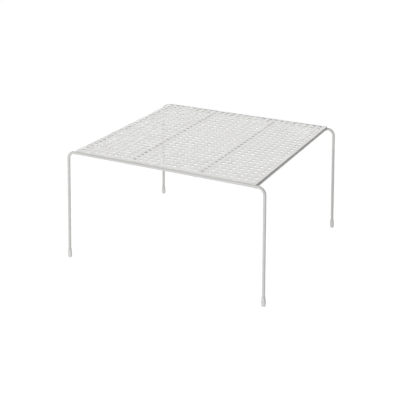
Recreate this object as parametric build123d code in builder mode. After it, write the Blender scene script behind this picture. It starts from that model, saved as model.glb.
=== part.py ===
from build123d import *
from math import atan2, cos, sin
import os

# A one-shelf riser for a kitchen cupboard: a perforated steel sheet welded on
# a frame of round wire, standing on four legs with push-on plastic caps.
# Millimetres, +Z up, +X right, +Y back. The origin is on the floor, under the
# middle of the shelf.

os.makedirs("parts", exist_ok=True)

# Driving dimensions
HEIGHT = 161.0  # floor to the top of the sheet
SHEET_WIDTH = 266.0
SHEET_DEPTH = 259.0
SHEET_THICKNESS = 0.8
SHEET_CORNER_RADIUS = 1.0
HOLE_DIAMETER = 5.0
COLUMN_PITCH = 10.0  # between hole centres, side to side
ROW_PITCH = 9.75  # between hole centres, front to back
HOLE_COLUMNS = 26
HOLE_ROWS = 26
HOLE_FIELD_Y = 3.2  # the hole field sits this much behind the middle of the sheet
FRAME_WIRE = 4.0  # diameter of the bent leg wires
RAIL_WIRE = 4.0  # diameter of the straight wires
RAIL_SPAN = 257.0  # between the axes of the front and back top rails
SIDE_RAIL_SPAN = 264.0  # between the axes of the two side rails
LEG_SPAN = 288.0  # between the leg axes, at the height of the top rail
FOOT_SPAN_X = 300.0  # between the foot centres on the floor, side to side
FOOT_SPAN_Y = 269.0  # the same, front to back
BEND_RADIUS = 10.0  # of the wire's centre line, between top rail and leg
SUPPORT_OFFSET = 50.0  # centre line of the shelf to each inner wire
WELD_GAP = 0.15  # weld metal between the wires and the sheet

CAP_DIAMETER = 6.0
CAP_BASE_DIAMETER = 5.2
CAP_MOUTH_DIAMETER = 4.7
CAP_HEIGHT = 12.5
CAP_SHOULDER = 8.2  # height where the cap starts to taper towards its mouth
CAP_BELLY = 4.4  # height where the cap reaches its full width
CAP_FLOOR = 1.6  # plastic under the end of the wire

BEAD_LENGTH = 2.8
BEAD_RADIUS = 2.85
BEAD_TAPER = 15.0  # degrees
SPOT_RADIUS = 0.95
SPOT_DEPTH = 0.45
SPOT_SPACING = 50.0

# Derived sizes
SHEET_UNDERSIDE = HEIGHT - SHEET_THICKNESS
FRAME_AXIS_Z = SHEET_UNDERSIDE - WELD_GAP - FRAME_WIRE / 2
RAIL_AXIS_Z = SHEET_UNDERSIDE - WELD_GAP - RAIL_WIRE / 2
SIDE_RAIL_X = SIDE_RAIL_SPAN / 2
RAIL_END_Y = RAIL_SPAN / 2 - FRAME_WIRE / 2 + 0.2
SPLAY_X = (FOOT_SPAN_X - LEG_SPAN) / 2
SPLAY_Y = (FOOT_SPAN_Y - RAIL_SPAN) / 2

FRONT = -1
BACK = 1
LEFT = -1
RIGHT = 1


def foot_point(side_x, side_y):
    """Point on the floor where a leg's axis meets it."""
    return Vector(side_x * FOOT_SPAN_X / 2, side_y * FOOT_SPAN_Y / 2, 0)


def leg_direction(side_x, side_y):
    """Unit vector up a leg's axis, from its foot to the top rail's height."""
    top = Vector(side_x * LEG_SPAN / 2, side_y * RAIL_SPAN / 2, FRAME_AXIS_Z)
    return (top - foot_point(side_x, side_y)).normalized()


def frame_plane(side_y):
    """Plane of one bent frame, which leans inwards from its feet to its rail."""
    lean = atan2(SPLAY_Y, FRAME_AXIS_Z)
    return Plane(
        origin=(0, side_y * RAIL_SPAN / 2, FRAME_AXIS_Z),
        x_dir=(1, 0, 0),
        z_dir=(0, -cos(lean), -side_y * sin(lean)),
    )


def leg_frame(side_y, label):
    """One wire bent to an upside-down U: a leg, the top rail and a leg."""
    slant = (SPLAY_Y**2 + FRAME_AXIS_Z**2) ** 0.5
    reach = 1 - CAP_FLOOR / FRAME_AXIS_Z
    end_x = LEG_SPAN / 2 + SPLAY_X * reach
    end_y = -slant * reach
    with BuildPart() as frame:
        with BuildLine(frame_plane(side_y)) as path:
            FilletPolyline(
                (-end_x, end_y),
                (-LEG_SPAN / 2, 0),
                (LEG_SPAN / 2, 0),
                (end_x, end_y),
                radius=BEND_RADIUS,
            )
        with BuildSketch(Plane(origin=path.line @ 0, z_dir=path.line % 0)):
            Circle(FRAME_WIRE / 2)
        sweep()
    frame.part.label = label
    return frame


def straight_wire(x, label):
    """A wire from the front rail to the back rail, seated on both of them."""
    with BuildPart() as wire:
        with BuildSketch(Plane.XZ):
            with Locations((x, RAIL_AXIS_Z)):
                Circle(RAIL_WIRE / 2)
        extrude(amount=RAIL_END_Y, both=True)
        add(front_frame.part, mode=Mode.SUBTRACT)
        add(back_frame.part, mode=Mode.SUBTRACT)
    wire.part.label = label
    return wire


def foot_cap(side_x, side_y, label):
    """A blind plastic sleeve on the end of a leg, flat where it stands."""
    foot = foot_point(side_x, side_y)
    up = leg_direction(side_x, side_y)
    across = Vector(0, 1, 0).cross(up).normalized()
    cut_allowance = 0.5  # below the floor, so that the flat cut is complete
    with BuildPart() as cap:
        with BuildSketch(Plane(origin=foot, x_dir=across, z_dir=across.cross(up))):
            with BuildLine():
                Polyline(
                    (0, -cut_allowance),
                    (CAP_BASE_DIAMETER / 2, -cut_allowance),
                    (CAP_DIAMETER / 2, CAP_BELLY),
                    (CAP_DIAMETER / 2, CAP_SHOULDER),
                    (CAP_MOUTH_DIAMETER / 2, CAP_HEIGHT),
                    (0, CAP_HEIGHT),
                    close=True,
                )
            make_face()
        revolve(axis=Axis(foot, up))
        rims = cap.edges().filter_by(GeomType.CIRCLE).sort_by(Axis(foot, up))
        fillet(rims[0], radius=1.0)
        fillet(rims[1:3], radius=4.0)
        fillet(rims[3], radius=0.25)
        with BuildSketch(Plane(origin=foot + up * CAP_FLOOR, z_dir=up)):
            Circle(FRAME_WIRE / 2)
        extrude(amount=CAP_HEIGHT, mode=Mode.SUBTRACT)
        split(bisect_by=Plane.XY, keep=Keep.TOP)
    cap.part.label = label
    return cap


def rail_weld_beads(side_y, label):
    """Weld collars where the four straight wires meet one top rail."""
    start = Plane.XZ.offset(-side_y * (RAIL_END_Y + 0.4))
    with BuildPart() as beads:
        with BuildSketch(start):
            with Locations(*[(x, RAIL_AXIS_Z) for x in WIRE_XS]):
                Circle(BEAD_RADIUS)
        extrude(amount=side_y * BEAD_LENGTH, taper=BEAD_TAPER)
        for wire in straight_wires:
            add(wire.part, mode=Mode.SUBTRACT)
        add(front_frame.part, mode=Mode.SUBTRACT)
        add(back_frame.part, mode=Mode.SUBTRACT)
        split(bisect_by=Plane.XY.offset(RAIL_AXIS_Z + RAIL_WIRE / 4), keep=Keep.BOTTOM)
    beads.part.label = label
    return beads


def sheet_spot_welds(label):
    """Nuggets of weld metal that hold the sheet on the wires below it."""
    steps = [-2, -1, 0, 1, 2]
    on_wires = [(x, SPOT_SPACING * n) for x in WIRE_XS for n in steps]
    on_rails = [(SPOT_SPACING * n, y * RAIL_SPAN / 2) for n in steps for y in (FRONT, BACK)]
    with BuildPart() as spots:
        with BuildSketch(Plane.XY.offset(SHEET_UNDERSIDE)):
            with Locations(*on_wires, *on_rails):
                Circle(SPOT_RADIUS)
        extrude(amount=-SPOT_DEPTH)
        for wire in straight_wires:
            add(wire.part, mode=Mode.SUBTRACT)
        add(front_frame.part, mode=Mode.SUBTRACT)
        add(back_frame.part, mode=Mode.SUBTRACT)
    spots.part.label = label
    return spots


# Bent wire frames, each with two legs and a top rail
front_frame = leg_frame(FRONT, "front_leg_frame")
back_frame = leg_frame(BACK, "back_leg_frame")

# Straight wires from front to back, under the sheet
WIRE_XS = [-SIDE_RAIL_X, -SUPPORT_OFFSET, SUPPORT_OFFSET, SIDE_RAIL_X]
WIRE_NAMES = ["left_side_rail", "left_support_wire", "right_support_wire", "right_side_rail"]
straight_wires = [straight_wire(x, name) for x, name in zip(WIRE_XS, WIRE_NAMES)]

# Shelf sheet, punched with straight rows of round holes
with BuildPart() as sheet:
    with BuildSketch(Plane.XY.offset(SHEET_UNDERSIDE)):
        RectangleRounded(SHEET_WIDTH, SHEET_DEPTH, SHEET_CORNER_RADIUS)
        with Locations((0, HOLE_FIELD_Y)):
            with GridLocations(COLUMN_PITCH, ROW_PITCH, HOLE_COLUMNS, HOLE_ROWS):
                Circle(HOLE_DIAMETER / 2, mode=Mode.SUBTRACT)
    extrude(amount=SHEET_THICKNESS)
sheet.part.label = "perforated_sheet"

# Weld metal
front_beads = rail_weld_beads(FRONT, "front_rail_weld_beads")
back_beads = rail_weld_beads(BACK, "back_rail_weld_beads")
spot_welds = sheet_spot_welds("sheet_spot_welds")

# Push-on caps
caps = [
    foot_cap(LEFT, FRONT, "front_left_foot_cap"),
    foot_cap(RIGHT, FRONT, "front_right_foot_cap"),
    foot_cap(LEFT, BACK, "back_left_foot_cap"),
    foot_cap(RIGHT, BACK, "back_right_foot_cap"),
]

pieces = [front_frame, back_frame, *straight_wires, sheet]
pieces += [front_beads, back_beads, spot_welds, *caps]
for piece in pieces:
    export_step(piece.part, f"parts/{piece.part.label}.step")
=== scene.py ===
import math
import bpy
import numpy as np
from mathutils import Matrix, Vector


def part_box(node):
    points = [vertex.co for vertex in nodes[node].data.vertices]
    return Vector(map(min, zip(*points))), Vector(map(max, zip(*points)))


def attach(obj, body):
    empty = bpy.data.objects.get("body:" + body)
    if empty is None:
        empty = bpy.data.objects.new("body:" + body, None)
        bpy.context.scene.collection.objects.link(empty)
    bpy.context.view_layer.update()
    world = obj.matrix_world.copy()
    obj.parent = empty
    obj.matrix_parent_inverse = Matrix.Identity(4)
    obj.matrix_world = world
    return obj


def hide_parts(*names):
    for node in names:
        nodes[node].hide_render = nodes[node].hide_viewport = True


# Looks of the perforated shelf riser, in metres, in the row frame: +Z up, +X right, +Y back,
# origin on the floor under the middle of the shelf.

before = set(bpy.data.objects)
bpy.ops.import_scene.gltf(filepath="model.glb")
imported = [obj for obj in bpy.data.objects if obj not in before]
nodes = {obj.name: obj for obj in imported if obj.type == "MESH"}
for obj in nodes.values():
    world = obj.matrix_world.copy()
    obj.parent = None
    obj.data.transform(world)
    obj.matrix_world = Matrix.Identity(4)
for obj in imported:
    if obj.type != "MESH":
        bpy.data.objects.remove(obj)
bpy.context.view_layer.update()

MM = 0.001

# Sheet
HOLE_RADIUS = 2.5 * MM
COLUMN_PITCH = 10 * MM
ROW_PITCH = 9.75 * MM
HOLE_COLUMNS = 26
HOLE_ROWS = 26
HOLE_FIELD_Y = 3.2 * MM  # the middle of the hole field, behind the middle of the sheet
HOLE_SEGMENTS = 24  # a multiple of 8, so that the corners of a cell fall on a vertex
HOLE_RIM_RADIUS = 0.12 * MM  # rounding of a punched hole's edge, on the top face
EDGE_RIM_RADIUS = 0.28 * MM  # the same, round the sheet's outline
CORNER_RADIUS = 1.0 * MM
CORNER_STEPS = 4
SHARP_ANGLE = 60  # degrees; steeper edges of the sheet are shaded sharp

# Wires
FRAME_WIRE_RADIUS = 2.0 * MM
RAIL_WIRE_RADIUS = 2.0 * MM

# Weld collars at the ends of the straight wires
COLLAR_HEIGHT = 0.95 * MM  # above the wire
COLLAR_LENGTH = 2.3 * MM  # along the wire
COLLAR_SINK = 0.15 * MM  # into the wire
COLLAR_BITE = 0.35 * MM  # into the top rail
COLLAR_SECTION = (48, 16)  # steps round the wire, and round the collar's own section
COLLAR_APART = 12 * MM  # vertices nearer than this belong to one collar
COLLAR_SEED = 11

# Spot welds between wires and sheet
NUGGET_REACH = 0.88 * MM
NUGGET_HEIGHT = 0.62 * MM
NUGGET_DROP = 0.1 * MM  # middle of a nugget below the sheet's underside
NUGGET_STEPS = (20, 10)  # round the nugget, and from its top to its bottom
NUGGET_APART = 5 * MM
NUGGET_SEED = 5

# Section of a foot cap, in millimetres: (radius, height along the leg), from the middle of the
# base round the outside and the mouth to the bottom of the bore.
CAP_SECTION = [
    (0.0, 0.3),
    (0.6, 0.3),
    (0.9, 0.0),
    (2.45, -0.1),
    (2.72, 0.35),
    (2.86, 2.2),
    (3.0, 4.6),
    (3.0, 8.0),
    (2.72, 10.0),
    (2.38, 12.1),
    (2.34, 12.5),
    (2.06, 12.5),
    (2.02, 12.1),
    (2.02, 2.0),
    (2.02, 1.6),
    (0.0, 1.6),
]
CAP_OUTSIDE = 2.2  # the section's outside is further out than this
CAP_SEAM = 0.05  # how far the parting line stands proud
CAP_STEPS = 64  # round the cap

# Camera, on the object's right front
CAMERA_AZIMUTH = 27.4
CAMERA_ELEVATION = 22.9
CAMERA_DISTANCE = 1.139
CAMERA_TARGET = (-0.00584, -0.00862, 0.06866)
CAMERA_LENS = 70.7

# Light, as radiance, by direction. Each pair is the span of one direction component over which
# the light changes.
BACKDROP = 3.0
BACKDROP_BACK = (0.3, 0.85)
BACKDROP_UP = (0.5, 0.75)
BACKDROP_RIGHT = (-0.2, 0.4)
FRONT_FILL = 0.82
FRONT_BACK = (-0.3, 0.3)
FRONT_UP = (0.4, 0.9)
FRONT_RIGHT = (-0.1, 0.8)
FRONT_LEFT = (-0.95, -0.1)
FRONT_LOW = (0.0, 0.45)
RIGHT_SHARE = 0.1  # what is left of the light on the far right
LEFT_SHARE = 0.25  # what is left of the front fill on the far left
LOW_SHARE = 0.6  # what is left of the front fill at and below the horizon
AMBIENT = 0.08
KEY_PLACE = (-0.1, -1.15, 0.9)
KEY_AIM = (0, 0, 0.1)
KEY_SIZE = 0.7
KEY_POWER = 8

# Floor
FLOOR_HALF = 6.0
FLOOR_GLOW = 0.62  # what lights the object from below
FLOOR_BOUNCE = 0.3
FLOOR_WHITE = 0.96  # what the camera sees
FLOOR_SHADOW = 0.14

# Powder coats: the light and the dark end of the tone drift, roughness, height of the peel
# The wires carry the sheet's white coat set a few per cent darker: painted shade for the darker
# legs and rails.
WIRE_COAT = ((0.695, 0.689, 0.675), (0.675, 0.669, 0.655), 0.34, 0.02 * MM)
SHEET_COAT = ((0.735, 0.727, 0.708), (0.715, 0.707, 0.688), 0.42, 0.03 * MM)
WELD_COAT = ((0.705, 0.699, 0.685), (0.665, 0.659, 0.645), 0.38, 0.06 * MM)
FLECK_SHADE = 0.94  # of the dark tone
# painted shade: creases are darkened to this share of the dark tone
PAINTED_CREASE_SHADE = 0.72
COAT_SHADE_REACH = 1.6 * MM  # how near two surfaces are for a crease in the coat to get painted shade
# how near two surfaces are for a crease in the caps to get painted shade
CAP_SHADE_REACH = 1.2 * MM


# ---------------------------------------------------------------- meshes


def smooth_object(name, vertices, faces):
    """A smooth-shaded mesh object that rides on the riser's one body."""
    mesh = bpy.data.meshes.new(name)
    mesh.from_pydata([tuple(v) for v in vertices], [], faces)
    mesh.validate()
    mesh.polygons.foreach_set("use_smooth", [True] * len(mesh.polygons))
    made = bpy.data.objects.new(name, mesh)
    bpy.context.collection.objects.link(made)
    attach(made, "root")
    return made


def node_points(name):
    """A CAD node's vertices, one row each."""
    return np.array([tuple(v.co) for v in nodes[name].data.vertices])


def clusters(points, reach):
    """Centres of the groups of points, each within reach of its group's first point."""
    groups = []
    for p in points:
        near = next((g for g in groups if np.linalg.norm(p - g[0]) < reach), None)
        if near is None:
            groups.append([p])
        else:
            near.append(p)
    return [(np.min(g, axis=0) + np.max(g, axis=0)) / 2 for g in groups]


class Builder:
    """Collects vertices, merged where they meet, and faces."""

    def __init__(self):
        self.vertices = []
        self.faces = []
        self.known = {}

    def vertex(self, x, y, z):
        key = (round(x * 1e7), round(y * 1e7), round(z * 1e7))
        if key not in self.known:
            self.known[key] = len(self.vertices)
            self.vertices.append((x, y, z))
        return self.known[key]

    def strip(self, first, second):
        """Quads between two open rows of vertices."""
        for a, b, c, d in zip(first, first[1:], second[1:], second):
            self.faces.append((a, b, c, d))


def edge_profile(top, bottom, radius):
    """Rounded edge of the sheet from the top face to the underside: (how far in, height) pairs."""
    rim = [
        (radius * (1 - math.sin(t)), top - radius * (1 - math.cos(t)))
        for t in (0, math.pi / 4, math.pi / 2)
    ]
    return rim + [(0.0, bottom)]


def square_point(angle):
    """Where a ray from the middle of a square of half side 1 leaves it."""
    x, y = math.cos(angle), math.sin(angle)
    reach = max(abs(x), abs(y))
    return x / reach, y / reach


def add_hole(build, centre_x, centre_y, profile):
    """One square cell of the sheet, both faces, with its hole."""
    half_x, half_y = COLUMN_PITCH / 2, ROW_PITCH / 2
    angles = [2 * math.pi * k / HOLE_SEGMENTS for k in range(HOLE_SEGMENTS)]
    square = [square_point(a) for a in angles]

    def ring(radius, z):
        made = [
            build.vertex(centre_x + radius * math.cos(a), centre_y + radius * math.sin(a), z)
            for a in angles
        ]
        return made + made[:1]

    def cell_border(z):
        made = [build.vertex(centre_x + half_x * x, centre_y + half_y * y, z) for x, y in square]
        return made + made[:1]

    rows = [cell_border(profile[0][1])]
    rows += [ring(HOLE_RADIUS + inset, z) for inset, z in profile]
    rows.append(cell_border(profile[-1][1]))
    for first, second in zip(rows, rows[1:]):
        build.strip(first, second)


def outline_points(width, depth, inset):
    """The sheet's outline moved in by inset, as matching points for each margin of the hole field.

    Each side's points lie straight across from the points on the outer sides of its hole cells,
    and each corner is an arc.
    """
    columns = cell_steps(HOLE_COLUMNS, COLUMN_PITCH, 0)
    rows = cell_steps(HOLE_ROWS, ROW_PITCH, HOLE_FIELD_Y)
    half_x, half_y = width / 2 - inset, depth / 2 - inset
    front = [(x, -half_y) for x in columns]
    right = [(half_x, y) for y in rows]
    back = [(x, half_y) for x in reversed(columns)]
    left = [(-half_x, y) for y in reversed(rows)]
    radius = CORNER_RADIUS - inset
    corners = []
    for turn, (sx, sy) in enumerate([(1, -1), (1, 1), (-1, 1), (-1, -1)]):
        centre = (sx * (width / 2 - CORNER_RADIUS), sy * (depth / 2 - CORNER_RADIUS))
        start = -math.pi / 2 + turn * math.pi / 2
        arc = [start + math.pi / 2 * k / CORNER_STEPS for k in range(CORNER_STEPS + 1)]
        corners.append(
            [(centre[0] + radius * math.cos(a), centre[1] + radius * math.sin(a)) for a in arc]
        )
    return [front, right, back, left], corners


def cell_steps(count, pitch, middle):
    """Places along one side of the hole field where the cells have border vertices."""
    eighth = HOLE_SEGMENTS // 8
    within = [math.tan(math.pi / 4 * k / eighth) for k in range(-eighth, eighth)]
    start = middle - (count - 1) / 2 * pitch
    steps = [start + (cell + w / 2) * pitch for cell in range(count) for w in within]
    return steps + [start + (count - 0.5) * pitch]


def sheet_mesh():
    """The perforated sheet with rounded hole rims, edges and corners, as one closed mesh."""
    low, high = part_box("perforated_sheet")
    width, depth = high[0] - low[0], high[1] - low[1]
    hole_profile = edge_profile(high[2], low[2], HOLE_RIM_RADIUS)
    profile = edge_profile(high[2], low[2], EDGE_RIM_RADIUS)
    build = Builder()
    for column in range(HOLE_COLUMNS):
        for row in range(HOLE_ROWS):
            centre_x = (column - (HOLE_COLUMNS - 1) / 2) * COLUMN_PITCH
            centre_y = HOLE_FIELD_Y + (row - (HOLE_ROWS - 1) / 2) * ROW_PITCH
            add_hole(build, centre_x, centre_y, hole_profile)

    columns = cell_steps(HOLE_COLUMNS, COLUMN_PITCH, 0)
    rows = cell_steps(HOLE_ROWS, ROW_PITCH, HOLE_FIELD_Y)
    field_sides = [
        [(x, rows[0]) for x in columns],
        [(columns[-1], y) for y in rows],
        [(x, rows[-1]) for x in reversed(columns)],
        [(columns[0], y) for y in reversed(rows)],
    ]

    def placed(points, z):
        return [build.vertex(x, y, z) for x, y in points]

    loops = []
    for inset, z in profile:
        sides, corners = outline_points(width, depth, inset)
        loop = []
        for side, corner in zip(sides, corners):
            loop += placed(side, z) + placed(corner, z)
        loops.append(loop + loop[:1])
    for first, second in zip(loops, loops[1:]):
        build.strip(second, first)

    for (inset, z), flip in ((profile[0], False), (profile[-1], True)):
        sides, corners = outline_points(width, depth, inset)
        for k in range(4):
            inner, outer = placed(field_sides[k], z), placed(sides[k], z)
            if flip:
                inner, outer = outer, inner
            build.strip(outer, inner)
            following = placed(sides[(k + 1) % 4], z)
            fan = [placed(sides[k], z)[-1], *placed(corners[k], z), following[0]]
            fan.append(placed(field_sides[k], z)[-1])
            build.faces.append(tuple(reversed(fan)) if flip else tuple(fan))
    return build.vertices, build.faces


def make_sheet():
    """The shelf's perforated sheet."""
    made = smooth_object("punched_sheet", *sheet_mesh())
    weight_normals(made)
    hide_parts("perforated_sheet")
    return made


def weight_normals(made):
    """Keeps flat faces flat in shading beside their rounded rims, and square edges sharp."""
    made.data.set_sharp_from_angle(angle=math.radians(SHARP_ANGLE))
    modifier = made.modifiers.new("flat_faces", "WEIGHTED_NORMAL")
    modifier.mode = "FACE_AREA"
    modifier.weight = 50
    modifier.keep_sharp = True


def closed_tube(point_at, around, along):
    """Quads over a grid that closes both ways, such as a ring with a closed section."""
    vertices = [point_at(i, k) for i in range(around) for k in range(along)]
    faces = []
    for i in range(around):
        for k in range(along):
            j, m = (i + 1) % around, (k + 1) % along
            faces.append((i * along + k, j * along + k, j * along + m, i * along + m))
    return vertices, faces


def join(parts):
    """Several (vertices, faces) pairs as one."""
    vertices, faces = [], []
    for part_vertices, part_faces in parts:
        start = len(vertices)
        vertices += part_vertices
        faces += [tuple(start + i for i in face) for face in part_faces]
    return vertices, faces


def collar(wire_x, axis_z, rail_y, side, ceiling, random):
    """A lumpy collar of weld metal round the end of a straight wire, against a top rail.

    side is -1 at the front rail and 1 at the back rail; no point is above the ceiling.
    """
    around, along = COLLAR_SECTION
    phases = random.uniform(0, 2 * math.pi, 6)

    def lumps(angle, sizes, start):
        return 1 + sum(
            size * math.sin((k + 2) * angle + phases[start + k]) for k, size in enumerate(sizes)
        )

    def point(i, k):
        angle = 2 * math.pi * i / around
        height = COLLAR_HEIGHT * lumps(angle, (0.10, 0.08, 0.05), 0)
        length = COLLAR_LENGTH * lumps(angle, (0.12, 0.06, 0.05), 3)
        turn = 2 * math.pi * k / along
        swell = max(math.sin(turn), -0.3)
        radius = RAIL_WIRE_RADIUS - COLLAR_SINK + height * swell
        x = wire_x + radius * math.cos(angle)
        z = axis_z + radius * math.sin(angle)
        drop = min(abs(z - (ceiling - FRAME_WIRE_RADIUS)), FRAME_WIRE_RADIUS)
        face_y = math.sqrt(FRAME_WIRE_RADIUS**2 - drop**2)
        reach = length * (0.5 - 0.5 * math.cos(turn))
        y = rail_y - side * (face_y - COLLAR_BITE + reach)
        return (x, y, min(z, ceiling))

    return closed_tube(point, around, along)


def make_collars(side, node, name):
    """The weld collars of one top rail, at the places of the CAD ones."""
    random = np.random.default_rng(COLLAR_SEED + side)
    places = clusters(node_points(node), COLLAR_APART)
    rail_low, rail_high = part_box("left_support_wire")
    axis_z = (rail_low[2] + rail_high[2]) / 2
    if side < 0:
        _, frame_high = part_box("front_leg_frame")
        rail_y = frame_high[1] - FRAME_WIRE_RADIUS
    else:
        frame_low, frame_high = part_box("back_leg_frame")
        rail_y = frame_low[1] + FRAME_WIRE_RADIUS
    ceiling = frame_high[2]
    parts = [collar(p[0], axis_z, rail_y, side, ceiling, random) for p in places]
    made = smooth_object(name, *join(parts))
    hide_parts(node)
    return made


def nugget(centre, random):
    """A small flattened lump of weld metal, half sunk in the sheet and the wire."""
    around, rings = NUGGET_STEPS
    long_x, long_y = NUGGET_REACH * random.uniform(0.9, 1.1, 2)
    tall = NUGGET_HEIGHT * random.uniform(0.9, 1.1)
    phase = random.uniform(0, 2 * math.pi)
    centre_x, centre_y, centre_z = centre
    vertices = [(centre_x, centre_y, centre_z + tall)]
    for r in range(1, rings):
        polar = math.pi * r / rings
        for k in range(around):
            angle = 2 * math.pi * k / around
            swell = 1 + 0.09 * math.sin(3 * angle + phase) * math.sin(polar)
            reach = swell * math.sin(polar)
            x = centre_x + long_x * reach * math.cos(angle)
            y = centre_y + long_y * reach * math.sin(angle)
            vertices.append((x, y, centre_z + tall * math.cos(polar)))
    vertices.append((centre_x, centre_y, centre_z - tall))
    last = len(vertices) - 1
    faces = []
    for k in range(around):
        n = (k + 1) % around
        faces.append((0, 1 + k, 1 + n))
        faces.append((last, last - around + n, last - around + k))
        for r in range(rings - 2):
            a, b = 1 + r * around, 1 + (r + 1) * around
            faces.append((a + k, b + k, b + n, a + n))
    return vertices, faces


def make_spot_welds():
    """The nuggets between sheet and wires, at the places of the CAD ones."""
    random = np.random.default_rng(NUGGET_SEED)
    sheet_low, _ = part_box("perforated_sheet")
    places = clusters(node_points("sheet_spot_welds"), NUGGET_APART)
    middle = sheet_low[2] - NUGGET_DROP
    parts = [nugget((p[0], p[1], middle), random) for p in places]
    made = smooth_object("spot_weld_nuggets", *join(parts))
    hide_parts("sheet_spot_welds")
    return made


def cut_corners(points, times):
    """Rounds a profile by cutting its corners; the two ends stay."""
    for _ in range(times):
        cut = [points[0]]
        for (ax, ay), (bx, by) in zip(points, points[1:]):
            cut.append((0.75 * ax + 0.25 * bx, 0.75 * ay + 0.25 * by))
            cut.append((0.25 * ax + 0.75 * bx, 0.25 * ay + 0.75 * by))
        cut.append(points[-1])
        points = cut
    return points


def cap_axis(node):
    """Where a CAD cap's axis meets the floor, and its direction upwards."""
    points = node_points(node)
    base = points[points[:, 2] < 0.02 * MM]
    mouth = points[points[:, 2] > points[:, 2].max() - 0.5 * MM]
    foot = Vector((base.min(axis=0) + base.max(axis=0)) / 2)
    top = Vector((mouth.min(axis=0) + mouth.max(axis=0)) / 2)
    return foot, (top - foot).normalized()


def cap_mesh(foot, up):
    """A cap turned from its section, with two parting lines and a dimple in its base."""
    across = up.cross(Vector((0, 1, 0))).normalized()
    along = up.cross(across)
    section = cut_corners(CAP_SECTION, 2)
    steps = len(section) - 2
    vertices = []
    faces = []
    for i in range(CAP_STEPS):
        angle = 2 * math.pi * i / CAP_STEPS
        outward = across * math.cos(angle) + along * math.sin(angle)
        on_seam = i % (CAP_STEPS // 2) == 0
        for radius, height in section[1:-1]:
            proud = CAP_SEAM if on_seam and radius > CAP_OUTSIDE else 0.0
            spot = foot + outward * (radius + proud) * MM + up * height * MM
            vertices.append((spot.x, spot.y, max(spot.z, 0.0)))
        start, following = i * steps, (i + 1) % CAP_STEPS * steps
        for k in range(steps - 1):
            faces.append((start + k, following + k, following + k + 1, start + k + 1))
    for (_, height), row in ((section[0], 0), (section[-1], steps - 1)):
        hub = len(vertices)
        vertices.append(tuple(foot + up * height * MM))
        for i in range(CAP_STEPS):
            first, second = i * steps + row, (i + 1) % CAP_STEPS * steps + row
            faces.append((hub, second, first) if row == 0 else (hub, first, second))
    return vertices, faces


def make_cap(node):
    """One push-on plastic foot cap."""
    made = smooth_object(node + "_moulded", *cap_mesh(*cap_axis(node)))
    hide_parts(node)
    return made


# ---------------------------------------------------------------- materials


class Shader:
    """A material with one Principled shader, and short ways to add nodes to it."""

    def __init__(self, name):
        self.material = bpy.data.materials.new(name)
        self.material.use_nodes = True
        self.tree = self.material.node_tree
        self.shader = self.tree.nodes["Principled BSDF"]
        self.place = self.add("ShaderNodeTexCoord").outputs["Object"]

    def add(self, kind, **settings):
        node = self.tree.nodes.new(kind)
        for key, value in settings.items():
            setattr(node, key, value)
        return node

    def link(self, output, socket):
        self.tree.links.new(output, socket)

    def noise(self, scale, detail):
        """Noise from 0 to 1 with features about 1/scale metres across."""
        node = self.add("ShaderNodeTexNoise")
        self.link(self.place, node.inputs["Vector"])
        node.inputs["Scale"].default_value = scale
        node.inputs["Detail"].default_value = detail
        return node.outputs["Fac"]

    def remap(self, value, low, high, from_low=0.3, from_high=0.7):
        """Goes from low to high while value goes from from_low to from_high."""
        node = self.add("ShaderNodeMapRange")
        self.link(value, node.inputs["Value"])
        node.inputs["From Min"].default_value = from_low
        node.inputs["From Max"].default_value = from_high
        node.inputs["To Min"].default_value = low
        node.inputs["To Max"].default_value = high
        return node.outputs["Result"]

    def mix_colour(self, factor, first, second):
        """Two colours, each a tuple or an output, mixed by factor."""
        node = self.add("ShaderNodeMix", data_type="RGBA")
        self.link(factor, node.inputs[0])
        for colour, socket in ((first, node.inputs[6]), (second, node.inputs[7])):
            if isinstance(colour, tuple):
                socket.default_value = (*colour, 1.0)
            else:
                self.link(colour, socket)
        return node.outputs[2]

    def bump(self, height, distance, strength, below=None):
        """A normal raised by height, over the normal below."""
        node = self.add("ShaderNodeBump")
        self.link(height, node.inputs["Height"])
        node.inputs["Distance"].default_value = distance
        node.inputs["Strength"].default_value = strength
        if below is not None:
            self.link(below, node.inputs["Normal"])
        return node.outputs["Normal"]

    def painted_shade(self, reach, from_low, from_high, low, high):
        """Painted shade: goes from high, where surfaces within reach hide the light, to low in the
        open.
        """
        node = self.add("ShaderNodeAmbientOcclusion", samples=8)
        node.inputs["Distance"].default_value = reach
        return self.remap(node.outputs["AO"], high, low, from_low, from_high)


def powder_coat(name, light, dark, roughness, peel):
    """White powder coat: a fine orange peel, faint tone drift and painted shade in its creases.

    light and dark are the ends of the tone drift; peel is the height of the orange peel.
    """
    coat = Shader(name)
    drift = coat.remap(coat.noise(22, detail=3), 0, 1)
    tone = coat.mix_colour(drift, dark, light)
    fleck = coat.remap(coat.noise(2600, detail=1), 0, 1, 0.62, 0.78)
    tone = coat.mix_colour(fleck, tone, tuple(FLECK_SHADE * c for c in dark))
    # painted shade: the coat darkens towards its dark tone where nearby surfaces hide the light
    painted_shade = coat.painted_shade(COAT_SHADE_REACH, 0.2, 0.7, 0, 0.25)
    tone = coat.mix_colour(painted_shade, tone, tuple(PAINTED_CREASE_SHADE * c for c in dark))
    coat.link(tone, coat.shader.inputs["Base Color"])
    shine = coat.remap(coat.noise(140, detail=3), roughness - 0.05, roughness + 0.06)
    coat.link(shine, coat.shader.inputs["Roughness"])
    orange_peel = coat.bump(coat.noise(620, detail=2), peel, 0.8)
    grit = coat.bump(coat.noise(3800, detail=1), peel * 0.12, 0.6, below=orange_peel)
    coat.link(grit, coat.shader.inputs["Normal"])
    coat.shader.inputs["IOR"].default_value = 1.5
    coat.shader.inputs["Coat Weight"].default_value = 0.15
    coat.shader.inputs["Coat Roughness"].default_value = 0.25
    return coat.material


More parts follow.
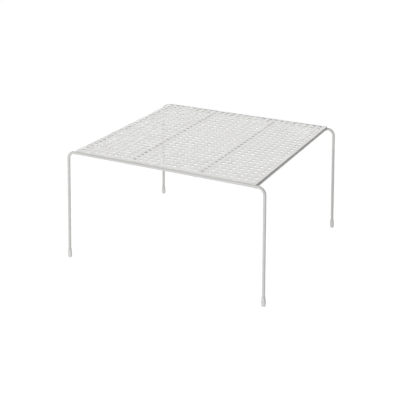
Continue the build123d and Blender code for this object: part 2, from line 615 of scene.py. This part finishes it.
def cap_plastic():
    """Natural white moulded plastic, slightly translucent and frosted, with painted shade in its
    creases.
    """
    plastic = Shader("cap_plastic_moulded")
    cloud = plastic.remap(plastic.noise(260, detail=3), 0, 1)
    tone = plastic.mix_colour(cloud, (0.76, 0.76, 0.74), (0.82, 0.82, 0.81))
    # painted shade: the plastic darkens to grey where nearby surfaces hide the light
    painted_shade = plastic.painted_shade(CAP_SHADE_REACH, 0.2, 0.8, 0, 1)
    tone = plastic.mix_colour(painted_shade, tone, (0.58, 0.58, 0.56))
    plastic.link(tone, plastic.shader.inputs["Base Color"])
    shine = plastic.remap(plastic.noise(500, detail=2), 0.34, 0.46)
    plastic.link(shine, plastic.shader.inputs["Roughness"])
    frost = plastic.bump(plastic.noise(2400, detail=2), 0.012 * MM, 0.6)
    flow = plastic.bump(plastic.noise(180, detail=1), 0.06 * MM, 0.5, below=frost)
    plastic.link(flow, plastic.shader.inputs["Normal"])
    plastic.shader.inputs["Subsurface Weight"].default_value = 0.35
    plastic.shader.inputs["Subsurface Radius"].default_value = (1.0, 1.0, 0.95)
    plastic.shader.inputs["Subsurface Scale"].default_value = 1.6 * MM
    plastic.shader.inputs["IOR"].default_value = 1.49
    return plastic.material


def paint(obj, material):
    """Gives an object one material."""
    obj.data.materials.clear()
    obj.data.materials.append(material)


# ---------------------------------------------------------------- stage


def emission(tree, strength):
    node = tree.nodes.new("ShaderNodeEmission")
    node.inputs["Strength"].default_value = strength
    return node.outputs[0]


def diffuse(tree, grey):
    node = tree.nodes.new("ShaderNodeBsdfDiffuse")
    node.inputs["Color"].default_value = (grey, grey, grey, 1)
    return node.outputs[0]


def add_shaders(tree, first, second):
    node = tree.nodes.new("ShaderNodeAddShader")
    tree.links.new(first, node.inputs[0])
    tree.links.new(second, node.inputs[1])
    return node.outputs[0]


def mix_shaders(tree, factor, first, second):
    node = tree.nodes.new("ShaderNodeMixShader")
    tree.links.new(factor, node.inputs[0])
    tree.links.new(first, node.inputs[1])
    tree.links.new(second, node.inputs[2])
    return node.outputs[0]


def floor_white():
    """White with a faint shadow to the camera, a soft glow to the object, clear from below."""
    material = bpy.data.materials.new("floor_white")
    material.use_nodes = True
    tree = material.node_tree
    tree.nodes.clear()
    glow = add_shaders(tree, diffuse(tree, FLOOR_BOUNCE), emission(tree, FLOOR_GLOW))
    white = add_shaders(tree, diffuse(tree, FLOOR_SHADOW), emission(tree, FLOOR_WHITE))
    camera_ray = tree.nodes.new("ShaderNodeLightPath").outputs["Is Camera Ray"]
    from_below = tree.nodes.new("ShaderNodeNewGeometry").outputs["Backfacing"]
    clear = tree.nodes.new("ShaderNodeBsdfTransparent").outputs[0]
    from_above = mix_shaders(tree, camera_ray, glow, white)
    out = tree.nodes.new("ShaderNodeOutputMaterial")
    tree.links.new(mix_shaders(tree, from_below, from_above, clear), out.inputs["Surface"])
    return material


def make_floor():
    """A plain level floor."""
    size = FLOOR_HALF
    corners = [(-size, -size, 0), (size, -size, 0), (size, size, 0), (-size, size, 0)]
    mesh = bpy.data.meshes.new("floor")
    mesh.from_pydata(corners, [], [(0, 1, 2, 3)])
    mesh.materials.append(floor_white())
    floor = bpy.data.objects.new("floor", mesh)
    bpy.context.collection.objects.link(floor)


def make_world():
    """White to the camera; the object is lit by a bright low backdrop and a dim front."""
    world = bpy.data.worlds.new("studio")
    world.use_nodes = True
    tree = world.node_tree
    tree.nodes.clear()

    def ramp(value, low, high, span):
        """Goes smoothly from low to high over the span of value."""
        made = tree.nodes.new("ShaderNodeMapRange")
        made.interpolation_type = "SMOOTHSTEP"
        tree.links.new(value, made.inputs["Value"])
        made.inputs["From Min"].default_value = span[0]
        made.inputs["From Max"].default_value = span[1]
        made.inputs["To Min"].default_value = low
        made.inputs["To Max"].default_value = high
        return made.outputs["Result"]

    def combine(operation, first, second):
        """Two outputs, or an output and a number, added or multiplied."""
        made = tree.nodes.new("ShaderNodeMath")
        made.operation = operation
        tree.links.new(first, made.inputs[0])
        if isinstance(second, float):
            made.inputs[1].default_value = second
        else:
            tree.links.new(second, made.inputs[1])
        return made.outputs[0]

    def product(*factors):
        """Several outputs multiplied."""
        result = factors[0]
        for factor in factors[1:]:
            result = combine("MULTIPLY", result, factor)
        return result

    axes = tree.nodes.new("ShaderNodeSeparateXYZ")
    direction = tree.nodes.new("ShaderNodeTexCoord").outputs["Generated"]
    tree.links.new(direction, axes.inputs[0])
    x, y, z = axes.outputs
    backdrop = product(
        ramp(y, 0.0, BACKDROP, BACKDROP_BACK),
        ramp(z, 1.0, 0.0, BACKDROP_UP),
        ramp(x, 1.0, RIGHT_SHARE, BACKDROP_RIGHT),
    )
    front = product(
        ramp(y, FRONT_FILL, 0.0, FRONT_BACK),
        ramp(z, 1.0, 0.0, FRONT_UP),
        ramp(x, 1.0, RIGHT_SHARE, FRONT_RIGHT),
        ramp(x, LEFT_SHARE, 1.0, FRONT_LEFT),
        ramp(z, LOW_SHARE, 1.0, FRONT_LOW),
    )
    strength = combine("ADD", combine("ADD", backdrop, front), AMBIENT)
    lit = tree.nodes.new("ShaderNodeBackground")
    white = tree.nodes.new("ShaderNodeBackground")
    for background in (lit, white):
        background.inputs["Color"].default_value = (1, 1, 1, 1)
    tree.links.new(strength, lit.inputs["Strength"])
    camera_ray = tree.nodes.new("ShaderNodeLightPath").outputs["Is Camera Ray"]
    seen = mix_shaders(tree, camera_ray, lit.outputs[0], white.outputs[0])
    out = tree.nodes.new("ShaderNodeOutputWorld")
    tree.links.new(seen, out.inputs["Surface"])
    bpy.context.scene.world = world


def make_key():
    """A square softbox in front of the shelf and above it."""
    light = bpy.data.lights.new("key", "AREA")
    light.size = KEY_SIZE
    light.energy = KEY_POWER
    made = bpy.data.objects.new("key", light)
    made.location = KEY_PLACE
    aim = Vector(KEY_AIM) - made.location
    made.rotation_mode = "QUATERNION"
    made.rotation_quaternion = aim.to_track_quat("-Z", "Y")
    bpy.context.collection.objects.link(made)


def make_camera():
    """The view of the whole riser from its right front."""
    azimuth = math.radians(CAMERA_AZIMUTH)
    elevation = math.radians(CAMERA_ELEVATION)
    level = Vector((math.sin(azimuth), -math.cos(azimuth), 0)) * math.cos(elevation)
    back = level + Vector((0, 0, math.sin(elevation)))
    lens = bpy.data.cameras.new("camera")
    lens.lens = CAMERA_LENS
    lens.clip_start = 0.05
    camera = bpy.data.objects.new("camera", lens)
    camera.location = Vector(CAMERA_TARGET) + back * CAMERA_DISTANCE
    camera.rotation_mode = "QUATERNION"
    camera.rotation_quaternion = (-back).to_track_quat("-Z", "Y")
    bpy.context.collection.objects.link(camera)
    bpy.context.scene.camera = camera


# ---------------------------------------------------------------- scene

make_camera()
make_world()
make_floor()
make_key()
bpy.context.scene.view_settings.view_transform = "Standard"

wire_coat = powder_coat("wire_powder_coat", *WIRE_COAT)
sheet_coat = powder_coat("sheet_powder_coat", *SHEET_COAT)
weld_coat = powder_coat("weld_powder_coat", *WELD_COAT)

wires = ["front_leg_frame", "back_leg_frame", "left_side_rail", "right_side_rail"]
wires += ["left_support_wire", "right_support_wire"]
for name in wires:
    paint(nodes[name], wire_coat)
paint(make_sheet(), sheet_coat)
paint(make_collars(-1, "front_rail_weld_beads", "front_weld_collars"), weld_coat)
paint(make_collars(1, "back_rail_weld_beads", "back_weld_collars"), weld_coat)
paint(make_spot_welds(), weld_coat)
plastic = cap_plastic()
for corner in ("front_left", "front_right", "back_left", "back_right"):
    paint(make_cap(corner + "_foot_cap"), plastic)
